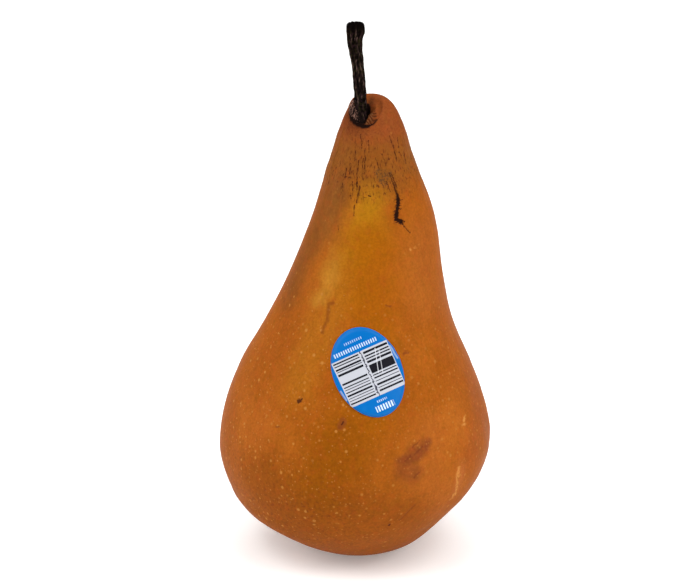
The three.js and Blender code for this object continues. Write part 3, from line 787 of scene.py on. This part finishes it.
# dry pear wood: the bark has shrunk to black fibres, with its ridges painted lighter as highlights and its
# grooves darker as shade
def makeDryBark():
    material, add = newMaterial("dryPearWood")
    point = inMillimetres(add)
    tall = add("VectorMath", {0: point, 1: (1 / 0.25, 1 / 0.25, 1 / 1.5)}, operation="MULTIPLY")
    fibre = add("TexNoise", {"Vector": tall, "Scale": 1.0, "Detail": 3.0, "Roughness": 0.6,
                             "Distortion": 0.5})
    # how far a point stands out adds painted highlights on the ridges and painted shade in the grooves
    relief = add("Math", {0: add("Attribute", attribute_name="relief", out="Fac"), 1: 0.4},
                 operation="MULTIPLY")
    mixed = add("Math", {0: fibre, 1: 0.9, 2: relief}, operation="MULTIPLY_ADD")
    colour = add("ValToRGB", {0: mixed}, stops=stalk["bark"])
    tint = add("TexNoise", {"Vector": point, "Scale": 1 / 0.8, "Detail": 2.0}, "Color")
    tint = add("SeparateColor", {0: tint}, None).outputs
    for channel, code in enumerate(stalk["tints"]):
        share = add("MapRange", {"Value": tint[channel], "From Min": 0.52, "From Max": 0.64, "To Max": 0.45})
        colour = add("Mix", {0: share, 6: colour, 7: code}, 2, data_type="RGBA")
    # near black over the top of the stalk
    darkTop = stalk["darkTop"]
    high = add("SeparateXYZ", {0: point}, None).outputs["Z"]
    share = add("MapRange", {"Value": high, "From Min": darkTop["from"], "From Max": darkTop["to"],
                             "To Max": 0.95},
                interpolation_type="SMOOTHSTEP")
    colour = add("Mix", {0: share, 6: colour, 7: darkTop["colour"]}, 2, data_type="RGBA")
    bump = add("Bump", {"Height": mixed, "Distance": 0.15 * mm, "Strength": 1.0})
    shader = add("BsdfPrincipled", {"Base Color": colour, "Roughness": 0.85, "Normal": bump,
                                    "Specular IOR Level": 0.0})
    add("OutputMaterial", {"Surface": shader}, None)
    return material


finishPiece(growStalk(), makeDryBark(), "stem")


# shaggy strands where the bark peels off the stalk's foot and lies on the rim of the hollow

strands = {
    "count": 320,
    "seed": 7,
    "sides": 6,
    "steps": 7,
    "from": -235,  # degrees round the stalk
    "to": -66,
    "stalkRadius": 1.72,
    # where they start: degrees and height; where they end: degrees, distance from the axis and height
    "tops": [(-235, 131.2), (-200, 133.0), (-180, 132.6), (-135, 130.4), (-90, 128.6), (-66, 127.6)],
    "ends": [(-235, 3.3, 130.6), (-205, 3.3, 130.6), (-180, 3.1, 128.6), (-150, 2.9, 127.0),
             (-125, 3.0, 125.2), (-90, 2.8, 124.4), (-66, 2.4, 124.8)],
    "halfWidth": (0.065, 0.14),
    "halfDepth": 0.12,
    "grain": {"size": 0.3, "height": 0.18},
    "cork": [(0.5, "#0f0806"), (0.84, "#332018"), (1.0, "#8a675a")],
}


def growStrands():
    random = np.random.default_rng(strands["seed"])
    template = addCircle(strands["sides"], 1)
    editAll()
    for step in range(strands["steps"]):
        extrude((0, 0, 1 / strands["steps"]))
    bpy.ops.object.mode_set(mode="OBJECT")
    x, y, up = readPoints(template).T  # one unit tall, thickest in the lower middle
    taper = 0.25 + 0.75 * np.sin(np.pi * np.clip(up * 0.8 + 0.12, 0, 1))
    angles, radii, heights = np.array(strands["ends"]).T
    copies = []
    for number in range(strands["count"]):
        turn = random.uniform(strands["from"], strands["to"])
        top = lookUp(strands["tops"], turn)
        endRadius, endHeight = np.interp(turn, angles, radii), np.interp(turn, angles, heights)
        start, stop = sorted(random.uniform(0, 1, 2) * (0.6, 0.5) + (0, 0.5))
        share = start + (stop - start) * (1 - up)  # from the stalk down to the rim
        lift = random.uniform(-0.1, 0.25)
        radius = strands["stalkRadius"] + (endRadius - strands["stalkRadius"]) * share ** 1.5
        radius = radius + lift * np.sin(np.pi * share) + y * taper * strands["halfDepth"]
        angle = np.radians(turn + random.uniform(-14, 14) * share + random.uniform(-5, 5))
        outwards = np.array((np.cos(angle), np.sin(angle)))
        across = np.array((-np.sin(angle), np.cos(angle)))
        side = x * taper * random.uniform(*strands["halfWidth"])
        flat = np.array(pear["stalkAxis"]) + (outwards * radius + across * side).T
        height = top + (endHeight - top) * share
        copyShaped(template, np.column_stack((flat, height)), copies, random.uniform(0, 0.6))
    bpy.data.objects.remove(template)
    piece = joinParts(copies, "barkStrands")
    roughen(piece, "strandGrain", strands["grain"]["size"], strands["grain"]["height"], 1, mid_level=0.5)
    return piece


# peeling cork: papery, pinkish tan where it is rubbed, dark brown between
def makePeelingCork():
    material, add = newMaterial("peelingCork")
    point = inMillimetres(add)
    fine = add("TexNoise", {"Vector": point, "Scale": 1 / 0.35, "Detail": 2.0})
    tone = add("Attribute", attribute_name="tone", out="Fac")
    tone = add("Math", {0: fine, 1: 1.8, 2: tone}, operation="MULTIPLY_ADD")
    axes = add("SeparateXYZ", {0: point}, None).outputs
    darker = add("MapRange", {"Value": axes["X"], "From Min": 2.2, "From Max": -1.0, "To Min": -0.85,
                              "To Max": -0.3})
    tone = add("Math", {0: tone, 1: darker})
    colour = add("ValToRGB", {0: tone}, stops=strands["cork"])
    bump = add("Bump", {"Height": fine, "Distance": 0.08 * mm, "Strength": 1.0})
    shader = add("BsdfPrincipled", {"Base Color": colour, "Roughness": 0.85, "Normal": bump,
                                    "Specular IOR Level": 0.05})
    add("OutputMaterial", {"Surface": shader}, None)
    return material


finishPiece(growStrands(), makePeelingCork(), "stem")


# calyx: dried sepals round a small cup with withered stamens, in the hollow underneath

calyx = {
    "middle": (-0.11, 0.3),
    "seed": 3,
    "sepals": {
        "count": 5,
        "turned": 0.3,
        "path": [(1.7, 4.7), (2.6, 4.5), (3.6, 4.1), (4.5, 3.4), (5.15, 2.4), (5.45, 1.15)],  # out and up
        "halfWidths": [1.05, 1.3, 1.35, 1.1, 0.65, 0.05],
        "cupped": 0.5,
        "thickness": 0.26,
    },
    "cup": [(1.75, 5.7), (1.75, 4.1), (2.0, 3.6), (2.35, 3.8), (2.5, 4.6), (2.6, 5.7)],
    "stamens": {"count": 14, "ring": 1.0, "top": 5.6, "length": (2.0, 3.0), "splay": 0.5, "halfWidth": 0.13,
                "steps": 8},
    "grain": {"size": 0.7, "height": 0.25},
    "withered": [(0.4, "#150d09"), (0.62, "#38241a"), (0.9, "#6d4c34")],
}


def growCalyx():
    random = np.random.default_rng(calyx["seed"])
    middle = np.array(calyx["middle"])
    parts = []

    given = calyx["sepals"]
    bpy.ops.object.select_all(action="DESELECT")
    bpy.ops.mesh.primitive_grid_add(x_subdivisions=8, y_subdivisions=14, size=1)
    leaf = bpy.context.object
    applyModifier(leaf, "SOLIDIFY", thickness=0.1, offset=0)
    across, along, thick = readPoints(leaf).T
    reaches, heights = np.array(given["path"]).T
    share = np.linspace(0, 1, len(reaches))
    for number in range(given["count"]):
        angle = given["turned"] + number * 2 * math.pi / given["count"]
        reach = np.interp(along + 0.5, share, reaches)
        side = 2 * across * np.interp(along + 0.5, share, given["halfWidths"])
        crumple = 0.16 * np.sin(9 * along + random.uniform(0, 6)) * np.cos(7 * across + random.uniform(0, 6))
        height = np.interp(along + 0.5, share, heights) + given["cupped"] * side ** 2 / 2 + crumple
        height = height + thick * 10 * given["thickness"]
        way = np.array((math.cos(angle), math.sin(angle)))
        turned = np.array((-math.sin(angle), math.cos(angle)))
        flat = middle + way * reach[:, None] + turned * (side + 0.25 * np.sin(4 * along + number))[:, None]
        copyShaped(leaf, np.column_stack((flat, height)), parts, random.uniform(0.2, 1))
    bpy.data.objects.remove(leaf)

    reach, height = calyx["cup"][0]
    ring = addCircle(30, reach, "NOTHING", (0, 0, height))
    editAll()
    for (reachBefore, heightBefore), (reach, height) in zip(calyx["cup"], calyx["cup"][1:]):
        extrude((0, 0, height - heightBefore), reach / reachBefore)
    bpy.ops.object.mode_set(mode="OBJECT")
    bpy.ops.object.transform_apply(location=True)
    points = readPoints(ring)
    wavy = 1 + 0.05 * np.sin(5 * np.arctan2(points[:, 1], points[:, 0]))
    points[:, :2] = middle + points[:, :2] * wavy[:, None]
    copyShaped(ring, points, parts, 0.35)
    bpy.data.objects.remove(ring)

    given = calyx["stamens"]
    thread = addCircle(6, 1)
    editAll()
    for step in range(given["steps"]):
        extrude((0, 0, 1 / given["steps"]))
    bpy.ops.object.mode_set(mode="OBJECT")
    unit = readPoints(thread)
    # a thread with a small knob at its end
    knob = np.interp(unit[:, 2], (0, 0.2, 0.7, 0.8, 0.92, 1), (1, 0.7, 0.7, 1.9, 1.9, 0.6))
    for number in range(given["count"]):
        angle = number * 2.4
        ring = given["ring"] * random.uniform(0.6, 1.15)
        long = random.uniform(*given["length"])
        lean = math.cos(angle + random.uniform(-1, 1)), math.sin(angle + random.uniform(-1, 1))
        start = middle + ring * np.array((math.cos(angle), math.sin(angle)))
        flat = start + np.array(lean) * given["splay"] * unit[:, 2:] ** 2
        flat = flat + unit[:, :2] * (knob * given["halfWidth"])[:, None]
        height = given["top"] - long * unit[:, 2]
        copyShaped(thread, np.column_stack((flat, height)), parts, random.uniform(0, 0.5))
    bpy.data.objects.remove(thread)

    piece = joinParts(parts, "driedCalyx")
    applyModifier(piece, "SUBSURF", levels=1, render_levels=1)
    roughen(piece, "calyxGrain", calyx["grain"]["size"], calyx["grain"]["height"], mid_level=0.5)
    return piece


# withered sepals: papery and dark brown, greyer and lighter on their raised veins
def makeWitheredSepal():
    material, add = newMaterial("witheredSepal")
    point = inMillimetres(add)
    veins = add("TexNoise", {"Vector": point, "Scale": 1 / 0.7, "Detail": 4.0, "Roughness": 0.65})
    tone = add("Attribute", attribute_name="tone", out="Fac")
    tone = add("Math", {0: tone, 1: 0.3, 2: veins}, operation="MULTIPLY_ADD")
    colour = add("ValToRGB", {0: tone}, stops=calyx["withered"])
    bump = add("Bump", {"Height": veins, "Distance": 0.15 * mm, "Strength": 1.0})
    shader = add("BsdfPrincipled", {"Base Color": colour, "Roughness": 0.82, "Normal": bump,
                                    "Specular IOR Level": 0.1})
    add("OutputMaterial", {"Surface": shader}, None)
    return material


finishPiece(growCalyx(), makeWitheredSepal(), "calyx")


# label

label = {
    "halfWidth": 9.4,
    "halfLength": 12.65,
    "lean": 21.3,
    "at": (3.65, 63.5),  # x and height of its middle
    "rings": 9,
    "corners": 96,
    "film": 0.09,
    "fluted": {"rim": 0.72, "height": 0.26, "waves": 22,
               "at": [(-2.55, 0.45, 1), (0.25, 0.4, 0.8)]},  # radians round the rim, width and share
    "unit": 30,  # mm of the print to one unit of its map
    "blue": "#0060a9",
    "white": "#b0b2ba",
    "ink": "#121118",
    "panel": (-8.1, 8.1, -7.0, 6.05),  # left, right, bottom and top of the white field
    "seam": {"at": 0.15, "ragged": 1.5, "halfWidth": 0.17, "colour": "#3c3c48"},
    "dashes": "#c9d8e4",
    "dashRows": [  # sizes in mm on the flat film
        {"across": (-6.6, 5.6), "up": (6.9, 8.0), "step": 0.66, "filled": 0.5, "strength": 0.75},
        {"across": (-2.9, 2.4), "up": (9.0, 9.7), "step": 0.6, "filled": 0.45, "strength": 0.5},
        {"across": (-1.2, 1.8), "up": (-8.6, -8.0), "step": 0.55, "filled": 0.5, "strength": 0.6},
        {"across": (-2.2, 3.2), "up": (-11.0, -9.4), "step": 0.78, "filled": 0.55, "strength": 0.9},
    ],
    # worn pale for the creases, also used for the painted highlights on the edges
    "worn": "#cfd0d6",
    "creasesAndGlints": [  # both ends and half width, soft edge and strength; the last two are painted highlights on the edges
        ((4.3, 5.2, 0), (2.5, -1.2, 0), 0.05, 0.1, 0.75), ((5.2, 4.6, 0), (3.6, -1.6, 0), 0.05, 0.1, 0.6),
        ((-8.5, -4.6, 0), (-8.9, -1.8, 0), 0.12, 0.2, 0.35), ((8.3, 4.2, 0), (8.9, 0.4, 0), 0.12, 0.25, 0.3)],
    "columns": [  # left and right, then the top and bottom of each bar
        (-7.8, -0.5, [(5.6, 5.2), (4.8, 4.5), (4.0, 3.5), (3.2, 3.0), (2.5, 1.9), (-0.2, -0.7), (-1.3, -1.6),
                      (-2.1, -2.3), (-2.8, -3.1), (-3.6, -4.1), (-4.6, -4.8), (-5.3, -5.5), (-6.0, -6.4)]),
        (0.8, 7.9, [(5.5, 4.9), (4.4, 4.0), (3.6, 3.2), (2.8, 2.2), (1.6, -0.8), (-1.2, -1.5), (-2.0, -2.4),
                    (-3.0, -3.2), (-3.8, -4.4), (-4.9, -5.1), (-5.6, -6.1)]),
    ],
}


def frontOf(x, z):  # point and normal of the skin straight behind (x, z), seen from the front
    found, spot, normal, face = fruit.ray_cast(Vector((x, -80, z)) * mm, Vector((0, 1, 0)))
    return spot, normal


def makeLabel():
    x, z = label["at"]
    piece = addCircle(label["corners"], 1 * mm, "NOTHING")
    piece.name = "fruitLabel"
    editAll()
    bpy.ops.transform.resize(value=(label["halfWidth"], label["halfLength"], 1))
    for ring in range(label["rings"], 1, -1):
        extrude((0, 0, 0), (ring - 1) / ring)
    bpy.ops.mesh.extrude_region_move()
    bpy.ops.mesh.merge(type="CENTER")
    bpy.ops.mesh.select_all(action="SELECT")
    bpy.ops.mesh.normals_make_consistent(inside=False)
    bpy.ops.object.mode_set(mode="OBJECT")
    if piece.data.polygons[0].normal.z < 0:
        piece.data.flip_normals()
    flat = readPoints(piece) / mm
    printed = piece.data.uv_layers.new(name="print")
    for loop in piece.data.loops:  # the print is laid on the flat film
        printed.data[loop.index].uv = flat[loop.vertex_index, :2] / label["unit"] + 0.5

    around = [frontOf(x + dx, z + dz) for dx, dz in ((0, 0), (5, 0), (-5, 0), (0, 7), (0, -7))]
    outwards = sum((normal for spot, normal in around), Vector()).normalized()
    side = Vector((0, 0, 1)).cross(outwards).normalized()
    turned = Matrix((side, outwards.cross(side), outwards)).transposed().to_4x4()
    turned = turned @ Matrix.Rotation(math.radians(label["lean"]), 4, "Z")
    piece.matrix_world = Matrix.Translation(around[0][0] + outwards * 6 * mm) @ turned
    applyModifier(piece, "SHRINKWRAP", target=fruit, wrap_method="PROJECT", use_project_z=True,
                  use_negative_direction=True, use_positive_direction=True, offset=0.06 * mm)
    fluted, x, y = label["fluted"], flat[:, 0] / label["halfWidth"], flat[:, 1] / label["halfLength"]
    angle = np.arctan2(y, x)
    lifted = sum(strength * np.exp(-((angle - at) / width) ** 2) for at, width, strength in fluted["at"])
    lifted = lifted * ease(fluted["rim"], 1, np.hypot(x, y))
    movePoints(piece, fluted["height"] * lifted * (1 + np.cos(angle * fluted["waves"])))
    applyModifier(piece, "SOLIDIFY", thickness=label["film"] * mm, offset=1)
    return piece


def insideOf(add, axes, fields):  # 1 where each of the named axes lies between its two values
    whole = 1.0
    for key, low, high in fields:
        mask = add("Math", {0: axes[key], 1: (low + high) / 2, 2: (high - low) / 2}, operation="COMPARE")
        whole = add("Math", {0: mask, 1: whole}, operation="MULTIPLY")
    return whole


# printed polypropylene film: slightly glossy, worn pale along its creases, with painted highlights on its
# fluted edges
def makePrintedFilm():
    material, add = newMaterial("printedPolypropyleneFilm")
    place = add("UVMap", uv_map="print")
    place = add("VectorMath", {0: place, 1: (0.5, 0.5, 0)}, operation="SUBTRACT")
    place = add("VectorMath", {0: place, "Scale": label["unit"]}, operation="SCALE")
    axes = add("SeparateXYZ", {0: place}, None).outputs
    left, right, bottom, top = label["panel"]
    panel = insideOf(add, axes, [("X", left, right), ("Y", bottom, top)])
    height = add("MapRange", {"Value": axes["Y"], "From Min": bottom, "From Max": top})
    ink = None
    for start, end, bars in label["columns"]:
        stops = [(0, "#000000")]
        for high, low in bars:
            stops += [((low - bottom) / (top - bottom), "#ffffff"),
                      ((high - bottom) / (top - bottom), "#000000")]
        steps = add("ValToRGB", {0: height}, None, stops + [(1, "#000000")])
        steps.color_ramp.interpolation = "CONSTANT"
        across = insideOf(add, axes, [("X", start, end)])
        bar = add("Math", {0: steps.outputs[0], 1: across}, operation="MULTIPLY")
        ink = bar if ink is None else add("Math", {0: ink, 1: bar}, operation="MAXIMUM")

    # a ragged printed seam between the columns
    seam = label["seam"]
    ragged = add("TexNoise", {"Vector": place, "Scale": 1 / 0.9, "Detail": 2.0})
    ragged = add("Math", {0: ragged, 1: seam["ragged"], 2: axes["X"]}, operation="MULTIPLY_ADD")
    ragged = add("Math", {0: ragged, 1: seam["at"] + seam["ragged"] / 2, 2: seam["halfWidth"]},
                 operation="COMPARE")
    ragged = add("Math", {0: ragged, 1: panel}, operation="MULTIPLY")

    # rows of plain dashes stand where a maker would print words
    dashes = None
    for row in label["dashRows"]:
        across = add("Math", {0: axes["X"], 1: row["step"]}, operation="FLOORED_MODULO")
        dash = add("Math", {0: across, 1: row["step"] * row["filled"]}, operation="LESS_THAN")
        field = insideOf(add, axes, [("X", *row["across"]), ("Y", *row["up"])])
        for share in (field, row["strength"]):
            dash = add("Math", {0: dash, 1: share}, operation="MULTIPLY")
        dashes = dash if dashes is None else add("Math", {0: dashes, 1: dash}, operation="MAXIMUM")

    colour = add("Mix", {0: panel, 6: label["blue"], 7: label["white"]}, 2, data_type="RGBA")
    for mask, code in ((ink, label["ink"]), (ragged, seam["colour"]), (dashes, label["dashes"])):
        colour = add("Mix", {0: mask, 6: colour, 7: code}, 2, data_type="RGBA")

    # pale lines where the film was folded into creases, and pale painted highlights along its fluted edges
    for start, end, halfWidth, soft, strength in label["creasesAndGlints"]:
        worn = strokes(add, place, [(start, end, halfWidth)], soft)
        worn = add("Math", {0: worn, 1: strength}, operation="MULTIPLY")
        colour = add("Mix", {0: worn, 6: colour, 7: label["worn"]}, 2, data_type="RGBA")
    shader = add("BsdfPrincipled", {"Base Color": colour, "Roughness": 0.38, "Specular IOR Level": 0.1})
    add("OutputMaterial", {"Surface": shader}, None)
    return material


finishPiece(makeLabel(), makePrintedFilm(), "label")
